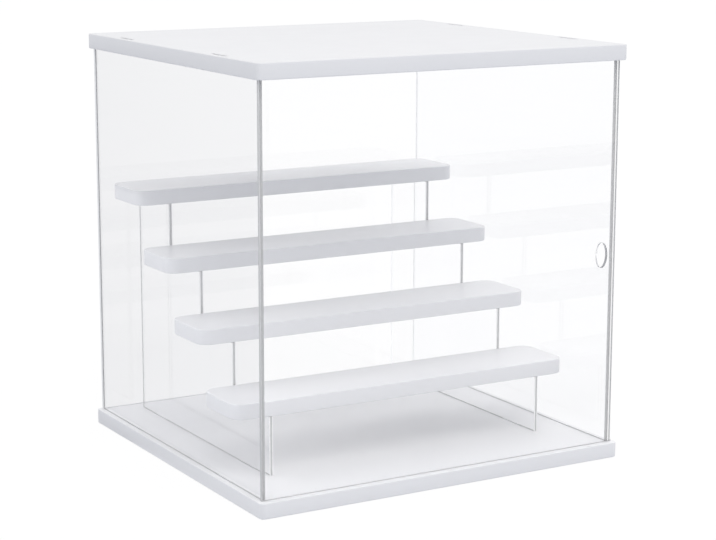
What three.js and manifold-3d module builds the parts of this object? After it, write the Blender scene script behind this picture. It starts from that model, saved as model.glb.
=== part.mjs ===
// A countertop display case: two white boards joined by clear walls, with a sliding front door
// and a stand of four white shelves that climb like stairs on two clear stepped plates.
//
// Millimetres, +Z up. X runs along the front, +Y points to the back. The origin is the middle
// of the base board's underside.

import * as THREE from 'three';
import { mergeVertices } from 'three/addons/utils/BufferGeometryUtils.js';
import Module from 'manifold-3d';

// ---------------------------------------------------------------- driving dimensions

// The base board and the top board are the same size.
const BOARD_WIDTH = 320;
const BOARD_DEPTH = 302;
const BOARD_THICKNESS = 12;
const BOARD_CORNER_RADIUS = 4.5;
const BOARD_EDGE_ROUNDING = 0.8;

// Clear height from the base board's face to the top board's underside.
const CLEAR_HEIGHT = 304;

// Every clear piece is cut from one sheet.
const SHEET_THICKNESS = 3;

// How far the walls stand in from the boards' edges, measured to their outer faces.
const SIDE_WALL_INSET = 4.5;
const BACK_WALL_INSET = 2;
const DOOR_FACE_INSET = 5.8;
const DOOR_END_INSET = 3.6;

// The door runs in a groove in each board. The back wall stands in a shallower one.
const DOOR_GROOVE_DEPTH = 4;
const BACK_GROOVE_DEPTH = 2;

// Tabs go right through slots in the boards and end just short of the board's far face.
const TAB_RECESS = 0.4;
const WALL_TAB_LENGTH = 24.5;
const WALL_TAB_SPACING = 164;

// The finger hole near the door's right end.
const FINGER_HOLE_WIDTH = 10;
const FINGER_HOLE_HEIGHT = 20;
const FINGER_HOLE_FROM_END = 12.5;

// The stand: the lowest step is the first above the base board.
const STEP_COUNT = 4;
const STEP_RISE = 45.7;
const FLOOR_IN_FRONT = 50.6;
const GAP_BEHIND_STAND = 12.3;
const PLATE_BEHIND_TOP_SHELF = 2.5;

// The shelves.
const SHELF_THICKNESS = 12;
const SHELF_CORNER_RADIUS = 11;
const SHELF_EDGE_ROUNDING = 0.8;
const SHELF_END_GAP = 3.5;
const SHELF_OVERHANG = 26.5;

// Keys of the stand: tabs into the base board, and a tongue on each tread into its shelf.
const STAND_TAB_LENGTH = 24.5;
const STAND_TAB_FROM_END = 22;
const TONGUE_LENGTH = 20;
const TONGUE_HEIGHT = 4;

// Clearances, on each side of the piece that goes in.
const FIXED_FIT = 0.2;
const RUNNING_FIT = 0.3;

// Straight steps of the round stretches: an arc takes twice its number, a rounded edge just it.
const CORNER_STEPS = 5;
const HOLE_STEPS = 20;
const EDGE_STEPS = 2;

// How far a cutter reaches past the face that it cuts, and the distance at which points merge.
const CUTTER_OVERSHOOT = 2;
const MERGE_DISTANCE = 1e-4;

// ---------------------------------------------------------------- worked out from them

const halfWidth = BOARD_WIDTH / 2;
const halfDepth = BOARD_DEPTH / 2;
const floorZ = BOARD_THICKNESS;
const ceilingZ = floorZ + CLEAR_HEIGHT;
const overallHeight = ceilingZ + BOARD_THICKNESS;
const tabReach = BOARD_THICKNESS - TAB_RECESS;

const sideOuterX = halfWidth - SIDE_WALL_INSET;
const sideInnerX = sideOuterX - SHEET_THICKNESS;
const backOuterY = halfDepth - BACK_WALL_INSET;
const backInnerY = backOuterY - SHEET_THICKNESS;
const doorFrontY = -halfDepth + DOOR_FACE_INSET;
const doorBackY = doorFrontY + SHEET_THICKNESS;
const doorHalfLength = halfWidth - DOOR_END_INSET;

// The side walls run from just behind the door to the back wall.
const sideFrontY = doorBackY + RUNNING_FIT;
const sideLength = backInnerY - sideFrontY;
const wallTabCentres = [-1, 1].map((end) => (sideLength + end * WALL_TAB_SPACING) / 2);

// The stand fills the depth that the clear floor and the gap behind leave it.
const standFrontY = doorBackY + FLOOR_IN_FRONT;
const standBackY = backInnerY - GAP_BEHIND_STAND;
const standLength = standBackY - standFrontY;
const stepDepth = (standLength - PLATE_BEHIND_TOP_SHELF) / STEP_COUNT;
const shelfDepth = stepDepth - FIXED_FIT;
const shelfHalfLength = sideInnerX - SHELF_END_GAP;
const plateOuterX = shelfHalfLength - SHELF_OVERHANG;
const plateInnerX = plateOuterX - SHEET_THICKNESS;
const standTabDistance = STAND_TAB_FROM_END + STAND_TAB_LENGTH / 2;
const standTabCentres = [standTabDistance, standLength - standTabDistance];

// ---------------------------------------------------------------- solids and their cuts

const wasm = await Module();
wasm.setup();

function solidOf(geometry) {
  const bare = geometry.clone();
  bare.deleteAttribute('normal');
  bare.deleteAttribute('uv');
  const merged = mergeVertices(bare, MERGE_DISTANCE);
  const vertProperties = new Float32Array(merged.attributes.position.array);
  const triVerts = new Uint32Array(merged.index.array);
  return new wasm.Manifold(new wasm.Mesh({ numProp: 3, vertProperties, triVerts }));
}

function geometryOf(solid) {
  const { vertProperties, triVerts } = solid.getMesh();
  const geometry = new THREE.BufferGeometry();
  geometry.setAttribute('position', new THREE.BufferAttribute(vertProperties, 3));
  geometry.setIndex(new THREE.BufferAttribute(triVerts, 1));
  geometry.computeVertexNormals();
  return geometry;
}

/** A box between two corners, low = [x, y, z] and high = [x, y, z]. */
function boxBetween(low, high) {
  const size = high.map((value, i) => value - low[i]);
  const box = new THREE.BoxGeometry(...size);
  return box.translate(...low.map((value, i) => value + size[i] / 2));
}

function cutAway(geometry, cutters) {
  const cut = cutters.reduce((solid, cutter) => solid.subtract(solidOf(cutter)), solidOf(geometry));
  return geometryOf(cut);
}

/** An outline through its corners, [[x, y], ...]. */
function outlineThrough(corners) {
  return new THREE.Shape(corners.map((corner) => new THREE.Vector2(...corner)));
}

/** A rectangle with round corners, centred on the origin. */
function roundedRectangle(width, depth, radius) {
  const x = width / 2 - radius;
  const y = depth / 2 - radius;
  const outline = new THREE.Shape();
  outline.absarc(x, y, radius, 0, Math.PI / 2);
  outline.absarc(-x, y, radius, Math.PI / 2, Math.PI);
  outline.absarc(-x, -y, radius, Math.PI, 1.5 * Math.PI);
  outline.absarc(x, -y, radius, 1.5 * Math.PI, 2 * Math.PI);
  outline.closePath();
  return outline;
}

/** A flat board lying on z = 0, with round corners in plan and rounded edges above and below. */
function roundedBoard(width, depth, thickness, cornerRadius, edgeRounding) {
  const board = new THREE.ExtrudeGeometry(roundedRectangle(width, depth, cornerRadius), {
    depth: thickness - 2 * edgeRounding,
    curveSegments: CORNER_STEPS,
    bevelThickness: edgeRounding,
    bevelSize: edgeRounding,
    bevelOffset: -edgeRounding,
    bevelSegments: EDGE_STEPS,
  });
  return board.translate(0, 0, edgeRounding);
}

/** A sheet that stands across the case: its outline is drawn in X and Z, its front is y = 0. */
function sheetAcross(outline) {
  const sheet = new THREE.ExtrudeGeometry(outline, {
    depth: SHEET_THICKNESS,
    curveSegments: HOLE_STEPS,
    bevelEnabled: false,
  });
  sheet.rotateX(Math.PI / 2);
  return sheet.translate(0, SHEET_THICKNESS, 0);
}

/** A sheet that stands front to back: its outline is drawn in Y and Z, its low X face is x = 0. */
function sheetFrontToBack(outline) {
  const sheet = new THREE.ExtrudeGeometry(outline, { depth: SHEET_THICKNESS, bevelEnabled: false });
  const turn = new THREE.Matrix4().makeBasis(
    new THREE.Vector3(0, 1, 0),
    new THREE.Vector3(0, 0, 1),
    new THREE.Vector3(1, 0, 0),
  );
  return sheet.applyMatrix4(turn);
}

function rectangleOutline(lowX, lowZ, highX, highZ) {
  return outlineThrough([[lowX, lowZ], [highX, lowZ], [highX, highZ], [lowX, highZ]]);
}

/** The X ranges of a pair of sheets, the left one first, from the right one's two faces. */
function bothSides(innerX, outerX) {
  return [[-outerX, -innerX], [innerX, outerX]];
}

// ---------------------------------------------------------------- outlines of the clear sheets

/** The four corners of each tab on a level edge, in the order in which the edge runs. */
function tabsAlong(centres, length, edge, reach) {
  return centres.flatMap((centre) => {
    const [from, to] = [centre - length / 2, centre + length / 2];
    return [[from, edge], [from, edge + reach], [to, edge + reach], [to, edge]];
  });
}

/** A side wall, from its front end at y = 0, with two tabs below and two above. */
function sideWallOutline() {
  return outlineThrough([
    [0, 0],
    ...tabsAlong(wallTabCentres, WALL_TAB_LENGTH, 0, -tabReach),
    [sideLength, 0],
    [sideLength, CLEAR_HEIGHT],
    ...tabsAlong(wallTabCentres, WALL_TAB_LENGTH, CLEAR_HEIGHT, tabReach).reverse(),
    [0, CLEAR_HEIGHT],
  ]);
}

/** The middle of a tread, counted from the lowest, along the stand. */
function treadMiddle(step) {
  return (step + 0.5) * stepDepth;
}

/** A stepped plate, from its front edge at y = 0: risers, and a tongue standing on each tread. */
function stepPlateOutline() {
  const corners = [[0, 0]];
  corners.push(...tabsAlong(standTabCentres, STAND_TAB_LENGTH, 0, -tabReach));
  corners.push([standLength, 0]);
  for (let step = STEP_COUNT - 1; step >= 0; step -= 1) {
    const tread = (step + 1) * STEP_RISE;
    const backOfTread = step === STEP_COUNT - 1 ? standLength : (step + 1) * stepDepth;
    corners.push([backOfTread, tread]);
    corners.push(...tabsAlong([treadMiddle(step)], TONGUE_LENGTH, tread, TONGUE_HEIGHT).reverse());
    corners.push([step * stepDepth, tread]);
  }
  return outlineThrough(corners);
}

/** The door, centred on x = 0 and standing on z = 0, with its oval finger hole. */
function doorOutline() {
  const height = CLEAR_HEIGHT + 2 * DOOR_GROOVE_DEPTH - RUNNING_FIT;
  const outline = rectangleOutline(-doorHalfLength, 0, doorHalfLength, height);
  const hole = new THREE.Path();
  const holeX = doorHalfLength - FINGER_HOLE_FROM_END;
  const holeZ = DOOR_GROOVE_DEPTH + CLEAR_HEIGHT / 2;
  hole.absellipse(holeX, holeZ, FINGER_HOLE_WIDTH / 2, FINGER_HOLE_HEIGHT / 2, 0, 2 * Math.PI);
  outline.holes.push(hole);
  return outline;
}

// ---------------------------------------------------------------- cutters for the boards

/** Slots for the tabs of a sheet that stands front to back between lowX and highX. */
function tabSlots(lowX, highX, sheetFrontY, centres, tabLength, lowZ, highZ) {
  return centres.map((centre) => {
    const middle = sheetFrontY + centre;
    const half = tabLength / 2 + FIXED_FIT;
    return boxBetween(
      [lowX - FIXED_FIT, middle - half, lowZ],
      [highX + FIXED_FIT, middle + half, highZ],
    );
  });
}

/** The slots for both side walls, right through a board that lies from lowZ to highZ. */
function sideWallSlots(lowZ, highZ) {
  return bothSides(sideInnerX, sideOuterX).flatMap(([lowX, highX]) => tabSlots(
    lowX,
    highX,
    sideFrontY,
    wallTabCentres,
    WALL_TAB_LENGTH,
    lowZ - CUTTER_OVERSHOOT,
    highZ + CUTTER_OVERSHOOT,
  ));
}

/** The slots for both stepped plates, right through the base board. */
function stepPlateSlots() {
  return bothSides(plateInnerX, plateOuterX).flatMap(([lowX, highX]) => tabSlots(
    lowX,
    highX,
    standFrontY,
    standTabCentres,
    STAND_TAB_LENGTH,
    -CUTTER_OVERSHOOT,
    floorZ + CUTTER_OVERSHOOT,
  ));
}

/** The door's groove: closed at the left, and open at the right, where the door comes out. */
function doorGroove(lowZ, highZ) {
  return boxBetween(
    [-doorHalfLength - RUNNING_FIT, doorFrontY - RUNNING_FIT, lowZ],
    [halfWidth + CUTTER_OVERSHOOT, doorBackY + RUNNING_FIT, highZ],
  );
}

/** The back wall's groove, closed at both ends. */
function backWallGroove(lowZ, highZ) {
  return boxBetween(
    [-sideOuterX - FIXED_FIT, backInnerY - FIXED_FIT, lowZ],
    [sideOuterX + FIXED_FIT, backOuterY + FIXED_FIT, highZ],
  );
}

// ---------------------------------------------------------------- the pieces

const WHITE_BOARD = { color: 0xf0f0f2, roughness: 0.35, metalness: 0 };
const CLEAR_SHEET = { color: 0xf4f8fa, roughness: 0.05, metalness: 0, transparent: true, opacity: 0.25 };

function piece(name, geometry, look, position) {
  const mesh = new THREE.Mesh(geometry, new THREE.MeshStandardMaterial(look));
  mesh.name = name;
  mesh.position.set(...position);
  return mesh;
}

function plainBoard() {
  return roundedBoard(
    BOARD_WIDTH,
    BOARD_DEPTH,
    BOARD_THICKNESS,
    BOARD_CORNER_RADIUS,
    BOARD_EDGE_ROUNDING,
  );
}

function baseBoard() {
  const geometry = cutAway(plainBoard(), [
    ...sideWallSlots(0, BOARD_THICKNESS),
    ...stepPlateSlots(),
    doorGroove(floorZ - DOOR_GROOVE_DEPTH, floorZ + CUTTER_OVERSHOOT),
    backWallGroove(floorZ - BACK_GROOVE_DEPTH, floorZ + CUTTER_OVERSHOOT),
  ]);
  return piece('base_board', geometry, WHITE_BOARD, [0, 0, 0]);
}

function topBoard() {
  const geometry = cutAway(plainBoard(), [
    ...sideWallSlots(0, BOARD_THICKNESS),
    doorGroove(-CUTTER_OVERSHOOT, DOOR_GROOVE_DEPTH),
    backWallGroove(-CUTTER_OVERSHOOT, BACK_GROOVE_DEPTH),
  ]);
  return piece('top_board', geometry, WHITE_BOARD, [0, 0, ceilingZ]);
}

function sideWall(name, lowX) {
  return piece(name, sheetFrontToBack(sideWallOutline()), CLEAR_SHEET, [lowX, sideFrontY, floorZ]);
}

function backWall() {
  const height = CLEAR_HEIGHT + 2 * BACK_GROOVE_DEPTH - FIXED_FIT;
  const outline = rectangleOutline(-sideOuterX, 0, sideOuterX, height);
  const place = [0, backInnerY, floorZ - BACK_GROOVE_DEPTH];
  return piece('back_panel', sheetAcross(outline), CLEAR_SHEET, place);
}

function frontDoor() {
  const place = [0, doorFrontY, floorZ - DOOR_GROOVE_DEPTH];
  return piece('front_door', sheetAcross(doorOutline()), CLEAR_SHEET, place);
}

function stepPlate(name, lowX) {
  return piece(name, sheetFrontToBack(stepPlateOutline()), CLEAR_SHEET, [lowX, standFrontY, floorZ]);
}

/** A shelf with its underside at z = 0 and two blind mortises for the treads' tongues. */
function shelfGeometry() {
  const board = roundedBoard(
    2 * shelfHalfLength,
    shelfDepth,
    SHELF_THICKNESS,
    SHELF_CORNER_RADIUS,
    SHELF_EDGE_ROUNDING,
  );
  const tongueMiddle = treadMiddle(0) - shelfDepth / 2;
  const half = TONGUE_LENGTH / 2 + FIXED_FIT;
  const mortises = bothSides(plateInnerX, plateOuterX).map(([lowX, highX]) => boxBetween(
    [lowX - FIXED_FIT, tongueMiddle - half, -CUTTER_OVERSHOOT],
    [highX + FIXED_FIT, tongueMiddle + half, TONGUE_HEIGHT + FIXED_FIT],
  ));
  return cutAway(board, mortises);
}

/** The shelves, numbered from the top as the eye meets them. */
function shelves() {
  return Array.from({ length: STEP_COUNT }, (_, index) => {
    const step = STEP_COUNT - 1 - index;
    const middleY = standFrontY + step * stepDepth + shelfDepth / 2;
    const undersideZ = floorZ + (step + 1) * STEP_RISE;
    return piece(`shelf_${index + 1}`, shelfGeometry(), WHITE_BOARD, [0, middleY, undersideZ]);
  });
}

// ---------------------------------------------------------------- the assembly

const displayCase = new THREE.Group();

const walls = new THREE.Group();
walls.add(
  sideWall('left_panel', -sideOuterX),
  sideWall('right_panel', sideInnerX),
  backWall(),
  frontDoor(),
);

const stand = new THREE.Group();
stand.add(
  stepPlate('left_step_plate', -plateOuterX),
  stepPlate('right_step_plate', plateInnerX),
  ...shelves(),
);

displayCase.add(baseBoard(), topBoard(), walls, stand);

console.log(`overall ${BOARD_WIDTH} x ${BOARD_DEPTH} x ${overallHeight} mm`);
console.log(`each step ${stepDepth.toFixed(2)} mm deep and ${STEP_RISE} mm high`);

export default displayCase;
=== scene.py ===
# %% [markdown]
# # A display case with a stepped stand
#
# The object is a countertop case for small exhibits: two white boards, four clear walls between
# them, and a stand of four white shelves on two clear plates cut like stairs. The sizes come
# from a CAD model that is loaded first and never changed. This file makes its looks: every
# board, shelf and sheet is drawn again with the soft edges that a real one has, then painted or
# made clear, lit softly and seen from the photograph's angle. Everything is in metres, +Z up.

from math import radians

import bpy
import numpy as np
from mathutils import Matrix, Vector


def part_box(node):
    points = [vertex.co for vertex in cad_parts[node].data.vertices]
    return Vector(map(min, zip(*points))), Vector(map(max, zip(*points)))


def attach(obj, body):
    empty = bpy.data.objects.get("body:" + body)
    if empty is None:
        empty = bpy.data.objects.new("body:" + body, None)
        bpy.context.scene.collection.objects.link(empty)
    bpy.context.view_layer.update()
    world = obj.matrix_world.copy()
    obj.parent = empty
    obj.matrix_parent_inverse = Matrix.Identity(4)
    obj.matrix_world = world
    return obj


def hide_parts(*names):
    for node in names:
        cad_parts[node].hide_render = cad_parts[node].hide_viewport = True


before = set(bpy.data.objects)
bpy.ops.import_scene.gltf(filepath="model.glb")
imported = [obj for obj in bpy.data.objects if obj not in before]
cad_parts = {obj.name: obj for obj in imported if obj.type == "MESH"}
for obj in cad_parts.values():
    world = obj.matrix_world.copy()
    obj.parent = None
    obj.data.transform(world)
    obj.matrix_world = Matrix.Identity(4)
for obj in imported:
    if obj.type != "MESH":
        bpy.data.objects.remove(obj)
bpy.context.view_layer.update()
print("CAD pieces:", ", ".join(sorted(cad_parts)))

# %% [markdown]
# ## The camera
#
# A camera can be set by eye, but the straight edges of the boards say exactly where it stood.
# A fit to them gave an angle of 30 degrees left of the front, 11 degrees up, and a long lens at
# 1.6 m, which is why the case hardly tapers. The camera's three own directions are worked out
# from those angles, and its place follows from them and from where the case sits in the frame.

# %% The camera
MM = 0.001
FRAME_WIDTH, SENSOR_WIDTH = 716, 36.0
FOCAL_PIXELS = 1970.9
AZIMUTH, ELEVATION, ROLL = radians(-30.26), radians(11.31), radians(0.093)
OFFSET_RIGHT, OFFSET_UP, DISTANCE = -7.19 * MM, -138.68 * MM, 1622.3 * MM


def camera_axes(azimuth, elevation, roll):
    """Right, up and backward unit vectors: backward leans from -Y by the azimuth and up by the
    elevation, right stays level, up is their cross product, and the roll turns both about it."""
    back = np.array([
        np.sin(azimuth) * np.cos(elevation),
        -np.cos(azimuth) * np.cos(elevation),
        np.sin(elevation),
    ])
    level = np.array([np.cos(azimuth), np.sin(azimuth), 0.0])
    upright = np.cross(back, level)
    right = np.cos(roll) * level + np.sin(roll) * upright
    up = -np.sin(roll) * level + np.cos(roll) * upright
    return right, up, back


def add_camera():
    right, up, back = camera_axes(AZIMUTH, ELEVATION, ROLL)
    place = -OFFSET_RIGHT * right - OFFSET_UP * up + DISTANCE * back
    data = bpy.data.cameras.new("photo_camera")
    data.sensor_width = SENSOR_WIDTH
    data.lens = FOCAL_PIXELS / FRAME_WIDTH * SENSOR_WIDTH
    camera = bpy.data.objects.new("photo_camera", data)
    bpy.context.scene.collection.objects.link(camera)
    turn = Matrix(np.stack([right, up, back], axis=1).tolist()).to_4x4()
    camera.matrix_world = Matrix.Translation(Vector(place)) @ turn
    bpy.context.scene.camera = camera
    print(f"camera: {data.lens:.1f} mm lens at {np.round(place, 3)} m")


add_camera()

# %% [markdown]
# ## Small helpers for shader nodes
#
# A material is a small graph. Wiring it by hand takes many lines, so two helpers do the plain
# parts: one adds a node and fills in its inputs by name, the other starts an empty material.

# %% Node helpers
def add_node(tree, kind, **inputs):
    """A new shader node. Keywords name its inputs, with _ for a space, and hold either a value
    or another node's output."""
    node = tree.nodes.new("ShaderNode" + kind)
    for name, value in inputs.items():
        socket = node.inputs[name.replace("_", " ")]
        if isinstance(value, bpy.types.NodeSocket):
            tree.links.new(value, socket)
        else:
            socket.default_value = value
    return node


def arithmetic(tree, operation, first, second):
    """One step of arithmetic on two numbers or outputs."""
    node = tree.nodes.new("ShaderNodeMath")
    node.operation = operation
    for socket, value in zip(node.inputs, (first, second)):
        if isinstance(value, bpy.types.NodeSocket):
            tree.links.new(value, socket)
        else:
            socket.default_value = value
    return node.outputs[0]


def mix_shaders(tree, share, first, second):
    node = tree.nodes.new("ShaderNodeMixShader")
    tree.links.new(share, node.inputs[0])
    tree.links.new(first, node.inputs[1])
    tree.links.new(second, node.inputs[2])
    return node.outputs[0]


def empty_material(name):
    material = bpy.data.materials.new(name)
    material.use_nodes = True
    tree = material.node_tree
    tree.nodes.clear()
    return material, tree, tree.nodes.new("ShaderNodeOutputMaterial")


# %% [markdown]
# ## Light and background
#
# The photograph has a pure white background and soft light from all round. An even pale sky does
# most of it. A large soft lamp at the front and one high up at each side, a little to the back,
# throw the shadow that lies under the stand and light the aisles beside it. The shelves' left
# ends are lighter than the boards' own left sides, so a weak panel laid against the left wall
# fills those. Making the sky brighter would bleach the white paint, so the white that the camera
# sees is separate: Light Path tells the rays that look (from the camera, in reflections and
# through the sheets) from the rays that light, and only the first kind meets pure white.

# %% The sky
SKY_LIGHT = 0.92


def looking_rays(tree):
    """1 for rays that look: from the camera, off a gloss or through a clear sheet."""
    path = tree.nodes.new("ShaderNodeLightPath")
    seen = arithmetic(tree, "MAXIMUM", path.outputs["Is Camera Ray"], path.outputs["Is Glossy Ray"])
    return arithmetic(tree, "MAXIMUM", seen, path.outputs["Is Transmission Ray"])


def add_sky():
    world = bpy.data.worlds.new("white_studio")
    world.use_nodes = True
    tree = world.node_tree
    tree.nodes.clear()
    light = add_node(tree, "Background", Color=(0.965, 0.973, 1.0, 1), Strength=SKY_LIGHT)
    seen = add_node(tree, "Background", Color=(1, 1, 1, 1), Strength=1.0)
    output = tree.nodes.new("ShaderNodeOutputWorld")
    surface = mix_shaders(tree, looking_rays(tree), light.outputs[0], seen.outputs[0])
    tree.links.new(surface, output.inputs["Surface"])
    bpy.context.scene.world = world
    print("sky: light", SKY_LIGHT)


add_sky()
bpy.context.scene.view_settings.view_transform = "Standard"

# %% The soft lamps
def add_soft_lamp(name, place, target, size, power, color):
    """A rectangular lamp that faces its target and is never seen itself. size is (width, height)
    and a lamp that faces along X has its width along Y."""
    data = bpy.data.lights.new(name, "AREA")
    data.shape = "RECTANGLE"
    data.size, data.size_y = size
    data.energy = power
    data.color = color
    lamp = bpy.data.objects.new(name, data)
    lamp.location = place
    lamp.rotation_euler = (Vector(target) - Vector(place)).to_track_quat("-Z", "Y").to_euler()
    for kind in ("camera", "glossy", "transmission"):
        setattr(lamp, f"visible_{kind}", False)
    bpy.context.scene.collection.objects.link(lamp)
    print(f"{name}: {power} W, {size[0]} by {size[1]} m")
    return lamp


STAND = (0, 0, 0.16)
SOFTBOX, PANEL = (1.2, 1.2), (0.26, 0.19)
PANEL_PLACE, PANEL_TARGET = (-0.1515, 0.01, 0.11), (0, 0.01, 0.11)
WARM, NEUTRAL, COOL = (1, 0.985, 0.96), (1, 1, 1), (0.98, 0.985, 1)
add_soft_lamp("lamp_front", (0.0, -1.1, 1.78), STAND, SOFTBOX, 6.0, WARM)
inside_lamps = [
    add_soft_lamp("lamp_right", (1.0, 0.35, 1.75), STAND, SOFTBOX, 7.0, NEUTRAL),
    add_soft_lamp("lamp_left", (-1.1, 0.75, 1.5), STAND, SOFTBOX, 7.0, NEUTRAL),
    add_soft_lamp("left_panel", PANEL_PLACE, PANEL_TARGET, PANEL, 0.03, COOL),
]

# %% [markdown]
# ## The floor
#
# The floor is a plain white sheet much larger than the case. For rays that look most of its
# white is a glow, and the small part that stays an ordinary matt surface still takes the soft
# shadow that ties the case to the ground. Rays that light meet a paler grey, which sets how much
# the floor sends back up.

# %% The floor
FLOOR_GLOW, FLOOR_PAINT, FLOOR_MOTTLE = 0.93, 0.085, 0.01
FLOOR_BOUNCE = (0.68, 0.70, 0.745, 1)


def floor_material():
    material, tree, output = empty_material("white_floor")
    coordinates = tree.nodes.new("ShaderNodeTexCoord")
    mottle = add_node(
        tree, "TexNoise", Vector=coordinates.outputs["Object"], Scale=9.0, Detail=3.0
    )
    paint = add_node(tree, "MapRange", Value=mottle.outputs["Fac"])
    paint.inputs["To Min"].default_value = FLOOR_PAINT - FLOOR_MOTTLE
    paint.inputs["To Max"].default_value = FLOOR_PAINT + FLOOR_MOTTLE
    glow = add_node(tree, "Emission", Color=(FLOOR_GLOW,) * 3 + (1,), Strength=1.0)
    shaded = add_node(tree, "BsdfDiffuse", Color=paint.outputs[0])
    seen = tree.nodes.new("ShaderNodeAddShader")
    tree.links.new(glow.outputs[0], seen.inputs[0])
    tree.links.new(shaded.outputs[0], seen.inputs[1])
    bounce = add_node(tree, "BsdfDiffuse", Color=FLOOR_BOUNCE)
    surface = mix_shaders(tree, looking_rays(tree), bounce.outputs[0], seen.outputs[0])
    tree.links.new(surface, output.inputs["Surface"])
    return material


def add_floor(reach=6.0, below=0.0002):
    """A square sheet, a fifth of a millimetre below the case's underside."""
    corners = np.array([[-1, -1], [1, -1], [1, 1], [-1, 1]]) * reach
    mesh = bpy.data.meshes.new("floor")
    mesh.from_pydata(np.c_[corners, np.full(4, -below)].tolist(), [], [[0, 1, 2, 3]])
    mesh.materials.append(floor_material())
    floor = bpy.data.objects.new("floor", mesh)
    bpy.context.scene.collection.objects.link(floor)
    print("floor:", 2 * reach, "m square")


add_floor()

# %% [markdown]
# ## A dark side to the studio
#
# Clear sheet is seen by what it mirrors. On a set that is white all round it would vanish, and
# the photograph does not do that: its left wall looks pale grey, so it mirrors something darker
# than the backdrop. A dark card, folded once, stands in for that close behind the wall. Only
# reflected rays can see it.

# %% The dark card
def add_card(name, points, faces, shade, drift_by=0.03):
    """A card of nearly even brightness, seen in reflections only."""
    material, tree, output = empty_material(name)
    place = tree.nodes.new("ShaderNodeTexCoord").outputs["Object"]
    drift = add_node(tree, "TexNoise", Vector=place, Scale=2.0, Detail=1.0)
    strength = add_node(tree, "MapRange", Value=drift.outputs["Fac"])
    strength.inputs["To Min"].default_value = shade - drift_by
    strength.inputs["To Max"].default_value = shade + drift_by
    glow = add_node(tree, "Emission", Color=(0.95, 0.95, 1, 1), Strength=strength.outputs[0])
    tree.links.new(glow.outputs[0], output.inputs["Surface"])
    mesh = bpy.data.meshes.new(name)
    mesh.from_pydata(points, [], faces)
    mesh.materials.append(material)
    card = bpy.data.objects.new(name, mesh)
    bpy.context.scene.collection.objects.link(card)
    for kind in ("camera", "diffuse", "transmission", "shadow"):
        setattr(card, f"visible_{kind}", False)
    print(f"{name}: brightness {shade}")


add_card(
    "dark_card",
    [(-0.18, -0.14, 0.0004), (-0.36, -0.14, 0.0004), (-0.36, 0.2, 0.0004), (-0.15, 0.2, 0.0004),
     (-0.15, 0.2, 0.317), (-0.36, 0.2, 0.27)],
    [(0, 1, 2, 3), (3, 2, 5, 4)],
    shade=0.2,
)

# %% [markdown]
# ## One shape for every piece: an outline carried through a thickness
#
# Boards, shelves and sheets are all flat stock with a cut outline and eased edges. Extruding a
# box and bevelling it would do, but the sheets have tabs, steps and a hole, and their edges need
# a finish of their own. So each piece is written as a surface of two parameters: how far along
# the outline, and how far through the thickness. Going through the thickness, the outline is
# pulled in at both faces by a quarter circle, which gives the eased edge.

# %% The eased edge
def eased_edge(thickness, rounding, steps):
    """How far in, and how far through, at each ring of the edge. Both ends are a quarter circle:
    inset = r (1 - sin a) and height = r (1 - cos a), for a from 0 to 90 degrees."""
    angle = np.linspace(0, np.pi / 2, steps + 1)
    inset = rounding * (1 - np.sin(angle))
    height = rounding * (1 - np.cos(angle))
    return np.r_[inset, inset[::-1]], np.r_[height, thickness - height[::-1]]


def mitres(outline):
    """At each corner, the vector that moves both edges out by one: with unit outward normals m
    and n of the edges before and after, (m + n) / (1 + m . n). The outline runs anticlockwise,
    or clockwise round a hole."""
    along = np.roll(outline, -1, axis=0) - outline
    along /= np.linalg.norm(along, axis=1, keepdims=True)
    after = np.stack([along[:, 1], -along[:, 0]], axis=1)
    before = np.roll(after, 1, axis=0)
    share = 1 + np.sum(before * after, axis=1, keepdims=True)
    return (before + after) / share


def edge_rings(outline, inset, height):
    """Rings of points [ring, corner, (a, b, t)]: the outline less the inset along its mitres,
    at each height t through the thickness."""
    flat = outline[None] - inset[:, None, None] * mitres(outline)[None]
    through = np.broadcast_to(height[:, None, None], flat.shape[:2] + (1,))
    return np.concatenate([flat, through], axis=2)


def band_faces(rings, corners, start=0):
    """Four-sided faces between neighbouring rings, all the way round."""
    ring, corner = np.meshgrid(np.arange(rings - 1), np.arange(corners), indexing="ij")
    following = (corner + 1) % corners
    here, above = start + ring * corners, start + (ring + 1) * corners
    faces = np.stack([here + corner, here + following, above + following, above + corner], axis=2)
    return faces.reshape(-1, 4).tolist()


# %% From rings to a piece
def finish_mesh(name, points, edge_faces, flat_faces, edge_slot, outer_count):
    """A mesh whose edge faces are shaded round, and whose two large faces stay dead flat. Only
    the outer edge faces, which come first, take the second material."""
    mesh = bpy.data.meshes.new(name)
    mesh.from_pydata(points.tolist(), [], edge_faces + flat_faces)
    mesh.set_sharp_from_angle(angle=radians(40))
    is_edge = np.arange(len(mesh.polygons)) < len(edge_faces)
    mesh.polygons.foreach_set("use_smooth", is_edge)
    is_outer = np.arange(len(mesh.polygons)) < outer_count
    mesh.polygons.foreach_set("material_index", is_outer * edge_slot)
    return mesh


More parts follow.
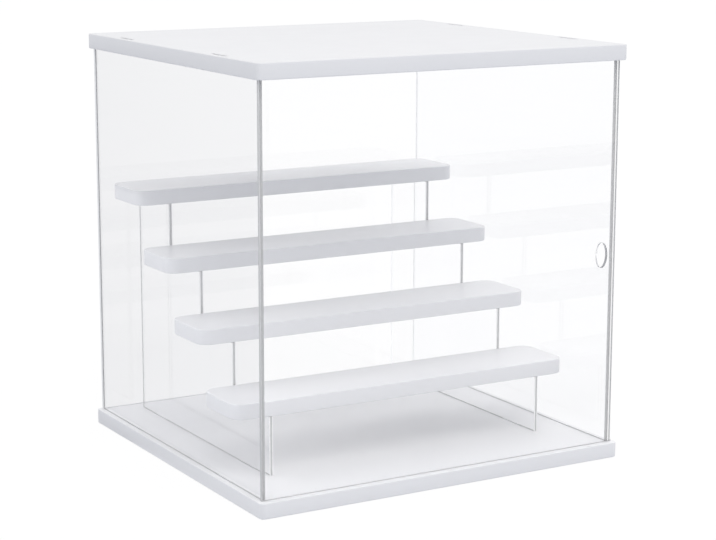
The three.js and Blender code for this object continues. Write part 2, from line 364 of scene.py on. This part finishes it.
def flat_stock(name, outline, thickness, rounding, steps, place, hole=None, edge_slot=0):
    """A piece of flat stock. place turns (a, b, t) into metres in the frame. A hole joins the
    outline along one straight line, so each large face is two polygons, below and above it."""
    inset, height = eased_edge(thickness, rounding, steps)
    rings = edge_rings(outline, inset, height)
    count, corners = rings.shape[:2]
    points = rings.reshape(-1, 3)
    edges = band_faces(count, corners)
    outer_count = len(edges)
    loops = [list(range(corners))]
    inner_count = 0
    if hole is not None:
        inner = edge_rings(hole, inset, height)
        inner_count = inner.shape[1]
        edges += band_faces(count, inner_count, len(points))
        points = np.concatenate([points, inner.reshape(-1, 3)])
        loops = hole_loops(outline, hole)
    last = [
        [i + (count - 1) * corners if i < corners
         else i - corners + count * corners + (count - 1) * inner_count for i in loop]
        for loop in loops
    ]
    first = [
        [i if i < corners else i - corners + count * corners for i in loop][::-1]
        for loop in loops
    ]
    mesh = finish_mesh(name, place(points), edges, first + last, edge_slot, outer_count)
    piece = bpy.data.objects.new(name, mesh)
    bpy.context.scene.collection.objects.link(piece)
    print(f"{name}: {len(mesh.vertices)} points, {len(mesh.polygons)} faces")
    return piece


def hole_loops(outline, hole):
    """The polygons below and above a hole, as indices into outline and then hole. The outline
    has a corner level with the hole's middle at each end, and the hole runs clockwise from its
    rightmost point."""
    corners, half = len(outline), len(hole) // 2
    level = np.flatnonzero(np.isclose(outline[:, 1], hole[0, 1]))
    right, left = sorted(level, key=lambda i: -outline[i, 0])
    below = [left] + [i % corners for i in range(left + 1, left + 1 + (right - left) % corners)]
    above = [right] + [i % corners for i in range(right + 1, right + 1 + (left - right) % corners)]
    ring = [corners + i % len(hole) for i in range(len(hole) + 1)]
    return [below + ring[:half + 1], above + ring[half:]]


# %% [markdown]
# ## Where each piece lies
#
# An outline has two directions of its own and a thickness. Three small functions lay it down:
# flat for a board, across the case for the door and the back, and front to back for the side
# walls and the stepped plates. Each keeps the three directions right-handed, so that faces
# always point outwards.

# %% Laying pieces down
def lying(middle_x, middle_y, underside):
    """Boards and shelves: a along X, b along Y, thickness up."""
    return lambda p: p + np.array([middle_x, middle_y, underside])


def across(back_face):
    """The door and the back: a along X, b up, thickness towards the front."""
    return lambda p: np.stack([p[:, 0], back_face - p[:, 2], p[:, 1]], axis=1)


def front_to_back(low_face):
    """Side walls and stepped plates: a along Y, b up, thickness along X."""
    return lambda p: np.stack([low_face + p[:, 2], p[:, 0], p[:, 1]], axis=1)


# %% [markdown]
# ## Boards and shelves
#
# A board is sprayed fibreboard: flat faces, round corners in plan and an edge eased by a
# sanding block. The outline is a rectangle whose corners are quarter circles. The slots and
# grooves are then cut with a Boolean modifier, as a router would, and the cutters are thrown
# away, so the tab ends and the gaps round them are real and show from above.

# %% The rounded outline
def rounded_rectangle(width, depth, radius, steps):
    """Corner centre plus radius times (cos a, sin a), for a through one quarter turn a corner."""
    quarter = np.linspace(0, np.pi / 2, steps + 1)
    angle = np.concatenate([quarter + k * np.pi / 2 for k in range(4)])
    side_x = np.repeat([1, -1, -1, 1], steps + 1)
    side_y = np.repeat([1, 1, -1, -1], steps + 1)
    centre = np.stack([side_x * (width / 2 - radius), side_y * (depth / 2 - radius)], axis=1)
    return centre + radius * np.stack([np.cos(angle), np.sin(angle)], axis=1)


def board_like(node, name, corner_radius):
    """The same board as a CAD node, with finer round corners and edges."""
    low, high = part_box(node)
    size, middle = high - low, (low + high) / 2
    outline = rounded_rectangle(size.x, size.y, corner_radius, CORNER_STEPS)
    place = lying(middle.x, middle.y, low.z)
    return flat_stock(name, outline, size.z, BOARD_EASING, EASING_STEPS, place)


BOARD_CORNER, SHELF_CORNER, BOARD_EASING = 4.5 * MM, 11 * MM, 0.8 * MM
CORNER_STEPS, EASING_STEPS = 12, 5
base = board_like("base_board", "painted_base", BOARD_CORNER)
top = board_like("top_board", "painted_top", BOARD_CORNER)
shelves = {
    f"shelf_{n}": board_like(f"shelf_{n}", f"painted_shelf_{n}", SHELF_CORNER)
    for n in range(1, 5)
}

# %% Cutting with boxes
def cutter(boxes):
    """One mesh of many boxes, from an array [box, (low, high), 3]. Corner k of a box takes its
    high side along each axis where that bit of k is set."""
    boxes = np.asarray(boxes, float)
    bits = (np.arange(8)[:, None] >> np.arange(3)) & 1
    points = np.where(bits[None], boxes[:, 1, None], boxes[:, 0, None]).reshape(-1, 3)
    sides = np.array([
        [0, 2, 3, 1], [4, 5, 7, 6], [0, 1, 5, 4], [2, 6, 7, 3], [0, 4, 6, 2], [1, 3, 7, 5],
    ])
    faces = (sides[None] + 8 * np.arange(len(boxes))[:, None, None]).reshape(-1, 4)
    mesh = bpy.data.meshes.new("cutter")
    mesh.from_pydata(points.tolist(), [], faces.tolist())
    piece = bpy.data.objects.new("cutter", mesh)
    bpy.context.scene.collection.objects.link(piece)
    return piece


def cut(piece, boxes):
    """Cuts the boxes out of a piece and keeps the result as its mesh."""
    tool = cutter(boxes)
    modifier = piece.modifiers.new("slots", "BOOLEAN")
    modifier.operation = "DIFFERENCE"
    modifier.solver = "EXACT"
    modifier.object = tool
    shaped = piece.evaluated_get(bpy.context.evaluated_depsgraph_get())
    mesh = bpy.data.meshes.new_from_object(shaped)
    piece.modifiers.clear()
    piece.data = mesh
    bpy.data.objects.remove(tool)
    print(f"{piece.name}: {len(boxes)} cuts, {len(mesh.polygons)} faces")


# %% [markdown]
# The sizes of the joints are the CAD model's. A slot is its tab plus a fifth of a millimetre all
# round, and the door has three tenths to run in.

# %% Slots and grooves
SHEET = 3 * MM
FIXED_FIT, RUNNING_FIT, PAST = 0.2 * MM, 0.3 * MM, 2 * MM
TAB_LENGTH, TAB_RECESS = 24.5 * MM, 0.4 * MM
DOOR_GROOVE, BACK_GROOVE = 4 * MM, 2 * MM
TONGUE_LENGTH, TONGUE_HEIGHT = 20 * MM, 4 * MM
BOARD, CEILING = 12 * MM, 316 * MM
WALL_X, PLATE_X = 155.5 * MM, 122.5 * MM
WALL_FRONT, WALL_BACK = -141.9 * MM, 146 * MM
PLATE_FRONT, PLATE_BACK = -91.6 * MM, 133.7 * MM
STEP_DEPTH, STEP_RISE = 55.7 * MM, 45.7 * MM
WALL_TABS = (-79.95 * MM, 84.05 * MM)
PLATE_TABS = (-57.35 * MM, 99.45 * MM)
DOOR_END, DOOR_FRONT = 156.4 * MM, -145.2 * MM
BOARD_HALF = 160 * MM


def tab_slots(outer_x, centres, low_z, high_z, length=TAB_LENGTH):
    """Slots for a pair of sheets, one on each side, round each tab's centre along Y."""
    half = length / 2 + FIXED_FIT
    spans = [(-outer_x, SHEET - outer_x), (outer_x - SHEET, outer_x)]
    return [
        [[low - FIXED_FIT, y - half, low_z], [high + FIXED_FIT, y + half, high_z]]
        for low, high in spans for y in centres
    ]


def grooves(low_z_door, high_z_door, low_z_back, high_z_back):
    """The door's groove, open at the right, and the back's groove, closed at both ends."""
    door_back = DOOR_FRONT + SHEET
    back = WALL_BACK + SHEET
    return [
        [[-DOOR_END - RUNNING_FIT, DOOR_FRONT - RUNNING_FIT, low_z_door],
         [BOARD_HALF + PAST, door_back + RUNNING_FIT, high_z_door]],
        [[-WALL_X - FIXED_FIT, WALL_BACK - FIXED_FIT, low_z_back],
         [WALL_X + FIXED_FIT, back + FIXED_FIT, high_z_back]],
    ]


cut(base, [
    *tab_slots(WALL_X, WALL_TABS, -PAST, BOARD + PAST),
    *tab_slots(PLATE_X, PLATE_TABS, -PAST, BOARD + PAST),
    *grooves(BOARD - DOOR_GROOVE, BOARD + PAST, BOARD - BACK_GROOVE, BOARD + PAST),
])
cut(top, [
    *tab_slots(WALL_X, WALL_TABS, CEILING - PAST, CEILING + BOARD + PAST),
    *grooves(CEILING - PAST, CEILING + DOOR_GROOVE, CEILING - PAST, CEILING + BACK_GROOVE),
])
for number, (node, shelf) in enumerate(shelves.items()):
    step = len(shelves) - 1 - number
    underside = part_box(node)[0].z
    middle = PLATE_FRONT + (step + 0.5) * STEP_DEPTH
    cut(shelf, tab_slots(PLATE_X, (middle,), underside - PAST,
                         underside + TONGUE_HEIGHT + FIXED_FIT, TONGUE_LENGTH))

# %% [markdown]
# ## The clear sheets
#
# Every clear piece is cut from one 3 mm sheet: flat, polished faces and narrow polished edges.
# The faces bend the view by two millimetres, which can be seen where a shelf passes behind a
# wall's edge, so they are real thickness and not a plane. Each sheet is drawn a tenth of a
# millimetre smaller than its place. Two surfaces in one plane would fight over which is seen,
# and a real sheet has such a gap too, which shows as the fine line where it meets a board.

# %% Outlines with tabs and steps
SHEET_EASING, SHEET_EASING_STEPS, HAIR_GAP = 0.25 * MM, 3, 0.1 * MM
TAB_REACH = BOARD - TAB_RECESS


def tabs(centres, edge, reach, length):
    """Corner pairs of tabs on a level edge, from low to high."""
    return [
        corner for y in centres
        for corner in ((y - length / 2, edge), (y - length / 2, edge + reach),
                       (y + length / 2, edge + reach), (y + length / 2, edge))
    ]


def drawn_in(corners):
    """The outline a hair's breadth inside the given corners."""
    outline = np.array(corners, float)
    return outline - HAIR_GAP * mitres(outline)


def side_wall_outline():
    return drawn_in([
        (WALL_FRONT, BOARD),
        *tabs(WALL_TABS, BOARD, -TAB_REACH, TAB_LENGTH),
        (WALL_BACK, BOARD),
        (WALL_BACK, CEILING),
        *tabs(WALL_TABS, CEILING, TAB_REACH, TAB_LENGTH)[::-1],
        (WALL_FRONT, CEILING),
    ])


def step_plate_outline():
    """Up the back, then down the stairs: each tread carries a tongue for its shelf."""
    corners = [(PLATE_FRONT, BOARD), *tabs(PLATE_TABS, BOARD, -TAB_REACH, TAB_LENGTH)]
    corners.append((PLATE_BACK, BOARD))
    top_step = len(shelves) - 1
    for step in range(top_step, -1, -1):
        riser = PLATE_FRONT + step * STEP_DEPTH
        tread = BOARD + (step + 1) * STEP_RISE
        back_of_tread = PLATE_BACK if step == top_step else riser + STEP_DEPTH
        tongue = tabs((riser + STEP_DEPTH / 2,), tread, TONGUE_HEIGHT, TONGUE_LENGTH)[::-1]
        corners += [(back_of_tread, tread), *tongue, (riser, tread)]
    return drawn_in(corners)


# %% The side walls and stepped plates
def clear_sheet(name, outline, place, hole=None):
    return flat_stock(
        name, outline, SHEET, SHEET_EASING, SHEET_EASING_STEPS, place, hole, edge_slot=1
    )


left_wall = clear_sheet("clear_left_wall", side_wall_outline(), front_to_back(-WALL_X))
right_wall = clear_sheet("clear_right_wall", side_wall_outline(), front_to_back(WALL_X - SHEET))
left_plate = clear_sheet("clear_left_steps", step_plate_outline(), front_to_back(-PLATE_X))
right_plate = clear_sheet("clear_right_steps", step_plate_outline(), front_to_back(PLATE_X - SHEET))

# %% [markdown]
# The door is the only piece with a hole: an oval for a fingertip, near the end that leads when
# it slides out. Its outline has an extra corner at each end, level with the hole, so that the
# large faces can be split there into two plain polygons.

# %% The back and the door
HOLE_X, HOLE_Z = 143.9 * MM, 164 * MM
HOLE_HALF_WIDTH, HOLE_HALF_HEIGHT, HOLE_STEPS = 5 * MM, 10 * MM, 64


def upright_rectangle(half, low, high, level=None):
    """Anticlockwise corners, with an extra pair at the given level."""
    extra = ([(half, level)], [(-half, level)]) if level else ([], [])
    return drawn_in([(-half, low), (half, low), *extra[0], (half, high), (-half, high), *extra[1]])


def oval(x, z, half_width, half_height, steps):
    """Clockwise from the rightmost point: (x + w cos a, z - h sin a)."""
    angle = np.arange(steps) * 2 * np.pi / steps
    return np.stack([x + half_width * np.cos(angle), z - half_height * np.sin(angle)], axis=1)


back_low, back_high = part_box("back_panel")
door_low, door_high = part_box("front_door")
back_wall = clear_sheet(
    "clear_back_wall",
    upright_rectangle(WALL_X, back_low.z, back_high.z),
    across(WALL_BACK + SHEET - HAIR_GAP / 2),
)
door = clear_sheet(
    "clear_door",
    upright_rectangle(DOOR_END, door_low.z, door_high.z, HOLE_Z),
    across(DOOR_FRONT + SHEET),
    oval(HOLE_X, HOLE_Z, HOLE_HALF_WIDTH, HOLE_HALF_HEIGHT, HOLE_STEPS),
)

# %% [markdown]
# ## White paint
#
# The boards are sprayed a satin white and the shelves a glossier one. Up close such a coat isn't
# even: it has a very fine orange peel, it is a touch thicker here than there, and on the sanded
# edges of fibreboard, which drink it in, it dries duller and slightly rougher. Both paints share
# these effects, so they are one node group with its own dials.

# %% The paint group
def group_with(name, inputs, outputs):
    """An empty shader node group. inputs are (name, socket type, default value)."""
    tree = bpy.data.node_groups.new(name, "ShaderNodeTree")
    for label, kind, value in inputs:
        socket = tree.interface.new_socket(
            name=label, in_out="INPUT", socket_type="NodeSocket" + kind
        )
        socket.default_value = value
    for label, kind in outputs:
        tree.interface.new_socket(name=label, in_out="OUTPUT", socket_type="NodeSocket" + kind)
    return tree, tree.nodes.new("NodeGroupInput"), tree.nodes.new("NodeGroupOutput")


def mapped(tree, value, low, high, to_low, to_high):
    """A number moved from one range to another."""
    ends = {"From_Min": low, "From_Max": high, "To_Min": to_low, "To_Max": to_high}
    return add_node(tree, "MapRange", Value=value, **ends).outputs[0]


def noise(tree, vector, scale, detail=2.0):
    return add_node(tree, "TexNoise", Vector=vector, Scale=scale, Detail=detail).outputs["Fac"]


def sanded_edge_mask(tree, vector_node):
    """1 on the upright edges of a lying board, 0 on its two large faces, from how far the
    surface's own direction leans away from the vertical."""
    parts = add_node(tree, "SeparateXYZ", Vector=vector_node.outputs["Normal"])
    steep = arithmetic(tree, "ABSOLUTE", parts.outputs["Z"], 0.0)
    return mapped(tree, steep, 0.3, 0.8, 1.0, 0.0)


def paint_group():
    tree, given, result = group_with(
        "sprayed_paint",
        [("Color", "Color", (0.9, 0.9, 0.91, 1)), ("Cloudiness", "Float", 0.02),
         ("Roughness", "Float", 0.3), ("Edge Dulling", "Float", 0.15)],
        [("Color", "Color"), ("Roughness", "Float"), ("Height", "Float")],
    )
    where = tree.nodes.new("ShaderNodeTexCoord")
    place = where.outputs["Object"]
    edge = sanded_edge_mask(tree, where)
    cloud = noise(tree, place, 14.0, 4.0)
    darker = arithmetic(tree, "MULTIPLY", given.outputs["Cloudiness"], cloud)
    keep = arithmetic(tree, "SUBTRACT", 1.0, darker)
    scaled = tree.nodes.new("ShaderNodeVectorMath")
    scaled.operation = "SCALE"
    tree.links.new(given.outputs["Color"], scaled.inputs[0])
    tree.links.new(keep, scaled.inputs["Scale"])
    streaks = mapped(tree, noise(tree, place, 60.0, 3.0), 0.3, 0.7, -0.03, 0.03)
    duller = arithmetic(tree, "MULTIPLY", given.outputs["Edge Dulling"], edge)
    rough = arithmetic(tree, "ADD", given.outputs["Roughness"], duller)
    rough = arithmetic(tree, "ADD", rough, streaks)
    peel = noise(tree, place, 420.0, 2.0)
    fibre = arithmetic(tree, "MULTIPLY", noise(tree, place, 1400.0, 1.0), edge)
    height = arithmetic(tree, "ADD", peel, arithmetic(tree, "MULTIPLY", fibre, 0.6))
    tree.links.new(scaled.outputs[0], result.inputs["Color"])
    tree.links.new(rough, result.inputs["Roughness"])
    tree.links.new(height, result.inputs["Height"])
    return tree


SPRAYED_PAINT = paint_group()
print("node group:", SPRAYED_PAINT.name)


# %% The two paints
def paint_material(name, color, roughness, cloudiness, dulling, gloss, peel):
    material, tree, output = empty_material(name)
    paint = tree.nodes.new("ShaderNodeGroup")
    paint.node_tree = SPRAYED_PAINT
    paint.inputs["Color"].default_value = (*color, 1)
    paint.inputs["Cloudiness"].default_value = cloudiness
    paint.inputs["Roughness"].default_value = roughness
    paint.inputs["Edge Dulling"].default_value = dulling
    bump = add_node(tree, "Bump", Height=paint.outputs["Height"], Strength=peel, Distance=0.00002)
    shader = add_node(
        tree, "BsdfPrincipled",
        Base_Color=paint.outputs["Color"],
        Roughness=paint.outputs["Roughness"],
        Normal=bump.outputs[0],
        Specular_IOR_Level=gloss,
    )
    tree.links.new(shader.outputs[0], output.inputs["Surface"])
    print("material:", name)
    return material


WHITE = (0.82, 0.82, 0.832)
satin_white = paint_material("satin_white_paint", WHITE, 0.34, 0.02, 0.12, 0.45, 0.10)
gloss_white = paint_material("gloss_white_paint", WHITE, 0.24, 0.02, 0.10, 0.25, 0.08)

# %% [markdown]
# ## Clear sheet
#
# The faces are a Principled shader with full Transmission Weight and the refractive index of
# cast acrylic, 1.49. They carry a trace of handling: a faint haze that comes and goes, held so
# low that the view stays sharp. The side walls have a tone of their own, a shade greyer: painted
# shade that stands in for the darker surroundings that they mirror. Glass stops light from lamps
# in a path tracer unless the rays find it by luck, so for lamp and bounce rays a Light Path switch
# swaps in a Transparent shader, slightly tinted for what a real sheet reflects away.

# %% The clear faces
PANE_SHADOW, PANE_HAZE = 0.98, 0.006
ACRYLIC_IOR = 1.49


def clear_material(name, tone):
    material, tree, output = empty_material(name)
    where = tree.nodes.new("ShaderNodeTexCoord").outputs["Object"]
    haze = noise(tree, where, 7.0, 3.0)
    tint = tree.nodes.new("ShaderNodeMix")
    tint.data_type = "RGBA"
    tree.links.new(haze, tint.inputs["Factor"])
    tint.inputs["A"].default_value = (*tone, 1)
    tint.inputs["B"].default_value = (*(min(1.0, part + PANE_HAZE) for part in tone), 1)
    sheen = mapped(tree, noise(tree, where, 35.0, 2.0), 0.35, 0.75, 0.0, 0.012)
    glass = add_node(
        tree, "BsdfPrincipled",
        Base_Color=tint.outputs["Result"],
        Roughness=sheen,
        IOR=ACRYLIC_IOR,
        Transmission_Weight=1.0,
    )
    passing = add_node(tree, "BsdfTransparent", Color=(PANE_SHADOW,) * 3 + (1,))
    path = tree.nodes.new("ShaderNodeLightPath")
    shadow, diffuse = path.outputs["Is Shadow Ray"], path.outputs["Is Diffuse Ray"]
    lighting = arithmetic(tree, "MAXIMUM", shadow, diffuse)
    surface = mix_shaders(tree, lighting, glass.outputs[0], passing.outputs[0])
    tree.links.new(surface, output.inputs["Surface"])
    print("material:", name)
    return material


clear_face = clear_material("clear_sheet", (0.992, 0.992, 0.995))
# The side walls' greyer tone is painted shade for the darker surroundings that they mirror.
side_face_painted_shade = clear_material("clear_side_sheet_painted_shade", (0.984, 0.986, 0.996))

# %% [markdown]
# The narrow edges look different: light that is caught inside the sheet leaves there after many
# turns, so they show as fine lines and never as a clear view. Following all those turns costs far
# too many bounces. A solid edge with a polished surface gives the same lines from outside, and
# from inside through the faces, with that light painted into its colour. Across the thickness a
# front edge has two painted tones, a grey middle of painted shade and lighter rims of painted
# light that also glow a little, though they are no lamp. At the back on the right the edge is
# painted lighter, up to white, as painted light from behind, so it nearly vanishes against the
# backdrop behind it. Faint lines along it are the saw's.

# %% The edge group, with painted light and shade
def edge_group():
    """How far through the sheet a point is: the size of its place along the sheet's own
    direction, less that of the inner face, over the thickness. 0 is the inner face, 1 the outer.
    The rims' painted light is only where the edge faces the front, and elsewhere the edge is all
    painted shade of the middle tone. Near the back on the right it is painted lighter, up to white."""
    tree, given, result = group_with(
        "polished_edge",
        [("Direction", "Vector", (1, 0, 0)), ("Inner Face", "Float", 0.15),
         ("Rim Painted Light", "Float", 0.9), ("Core Painted Shade", "Float", 0.5), ("Painted Backlight", "Float", 0.5)],
        [("Color", "Color"), ("Roughness", "Float"), ("Painted Glow", "Color")],
    )
    where = tree.nodes.new("ShaderNodeTexCoord")
    place = where.outputs["Object"]
    size = tree.nodes.new("ShaderNodeVectorMath")
    size.operation = "ABSOLUTE"
    tree.links.new(place, size.inputs[0])
    along = tree.nodes.new("ShaderNodeVectorMath")
    along.operation = "DOT_PRODUCT"
    tree.links.new(size.outputs[0], along.inputs[0])
    tree.links.new(given.outputs["Direction"], along.inputs[1])
    depth = arithmetic(tree, "SUBTRACT", along.outputs["Value"], given.outputs["Inner Face"])
    through = arithmetic(tree, "DIVIDE", depth, SHEET)
    off_middle = arithmetic(tree, "ABSOLUTE", arithmetic(tree, "SUBTRACT", through, 0.5), 0.0)
    facing = add_node(tree, "SeparateXYZ", Vector=where.outputs["Normal"]).outputs["Y"]
    # Painted light: the rims turn lighter only where the edge faces the front.
    rim_painted_light = arithmetic(
        tree, "MULTIPLY",
        mapped(tree, off_middle, 0.24, 0.34, 0.0, 1.0),
        mapped(tree, facing, -0.6, -0.4, 1.0, 0.0),
    )
    tone = mapped(tree, rim_painted_light, 0.0, 1.0, given.outputs["Core Painted Shade"], given.outputs["Rim Painted Light"])
    saw = noise(tree, place, 900.0, 1.0)
    tone = arithmetic(tree, "MULTIPLY", tone, mapped(tree, saw, 0.2, 0.8, 0.95, 1.05))
    # Painted light from behind: near the back on the right the edge turns lighter, up to white.
    parts = add_node(tree, "SeparateXYZ", Vector=place)
    lit = arithmetic(
        tree, "MULTIPLY",
        mapped(tree, parts.outputs["Y"], 0.131, 0.1325, 0.0, 1.0),
        mapped(tree, parts.outputs["X"], 0.0, 0.05, 0.0, given.outputs["Painted Backlight"]),
    )
    tone = mapped(tree, lit, 0.0, 1.0, tone, 1.0)
    # Painted glow: the lightest tones shine a little, though the edge is no lamp.
    glow = mapped(tree, tone, 0.7, 1.0, 0.0, 0.25)
    tree.links.new(tone, result.inputs["Color"])
    tree.links.new(glow, result.inputs["Painted Glow"])
    tree.links.new(mapped(tree, saw, 0.2, 0.8, 0.12, 0.3), result.inputs["Roughness"])
    return tree


POLISHED_EDGE_PAINTED_LIGHT = edge_group()
print("node group:", POLISHED_EDGE_PAINTED_LIGHT.name)


# %% The polished edges, with painted light and shade
def edge_material(name, direction, inner_face, rim_painted_light, core_painted_shade, backlight):
    material, tree, output = empty_material(name)
    edge = tree.nodes.new("ShaderNodeGroup")
    edge.node_tree = POLISHED_EDGE_PAINTED_LIGHT
    edge.inputs["Direction"].default_value = direction
    edge.inputs["Inner Face"].default_value = inner_face
    edge.inputs["Rim Painted Light"].default_value = rim_painted_light
    edge.inputs["Core Painted Shade"].default_value = core_painted_shade
    edge.inputs["Painted Backlight"].default_value = backlight
    shader = add_node(
        tree, "BsdfPrincipled",
        Base_Color=edge.outputs["Color"],
        Roughness=edge.outputs["Roughness"],
        IOR=ACRYLIC_IOR,
        Emission_Color=edge.outputs["Painted Glow"],
        Emission_Strength=1.0,
    )
    tree.links.new(shader.outputs[0], output.inputs["Surface"])
    print("material:", name)
    return material


# Each sheet's edge has its own painted light and shade, set to how light falls on it.
wall_edge = edge_material("wall_edge", (1, 0, 0), WALL_X - SHEET, 0.56, 0.53, 0.7)
plate_edge = edge_material("plate_edge", (1, 0, 0), PLATE_X - SHEET, 0.90, 0.54, 1.0)
back_edge = edge_material("back_edge", (0, 1, 0), WALL_BACK, 0.80, 0.80, 0.7)
door_edge = edge_material("door_edge", (0, 1, 0), -DOOR_FRONT - SHEET, 0.74, 0.62, 0.6)

# %% [markdown]
# ## Dress the pieces
#
# Each new piece gets its finish, hides the CAD node that it stands for, and rides with the body
# that the node belongs to: everything with the case, and the door with its own slide.

# %% Finish, hide and ride
def dress(piece, node, body, slot, *materials):
    for material in materials:
        piece.data.materials.append(material)
    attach(piece, body)
    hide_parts(node)


dress(base, "base_board", "case", "white_board", satin_white)
dress(top, "top_board", "case", "white_board", satin_white)
for node, shelf in shelves.items():
    dress(shelf, node, "case", "white_shelf", gloss_white)
sheets = {
    "left_panel": (left_wall, "case", wall_edge),
    "right_panel": (right_wall, "case", wall_edge),
    "back_panel": (back_wall, "case", back_edge),
    "front_door": (door, "door", door_edge),
    "left_step_plate": (left_plate, "case", plate_edge),
    "right_step_plate": (right_plate, "case", plate_edge),
}
for node, (sheet, body, edge) in sheets.items():
    face = side_face_painted_shade if sheet in (left_wall, right_wall) else clear_face
    dress(sheet, node, body, "clear_sheet", face, edge)
print("dressed:", len(shelves) + len(sheets) + 2, "pieces")

# %% [markdown]
# The lamps at the sides are there for the inside alone. Light linking gives a lamp a collection of
# the objects that it may light, here all but the top board, whose own sides stay as they are.

# %% What the side lamps light
inside = bpy.data.collections.new("inside")
for piece in (base, *shelves.values(), *(sheet for sheet, _, _ in sheets.values())):
    inside.objects.link(piece)
for lamp in inside_lamps:
    lamp.light_linking.receiver_collection = inside
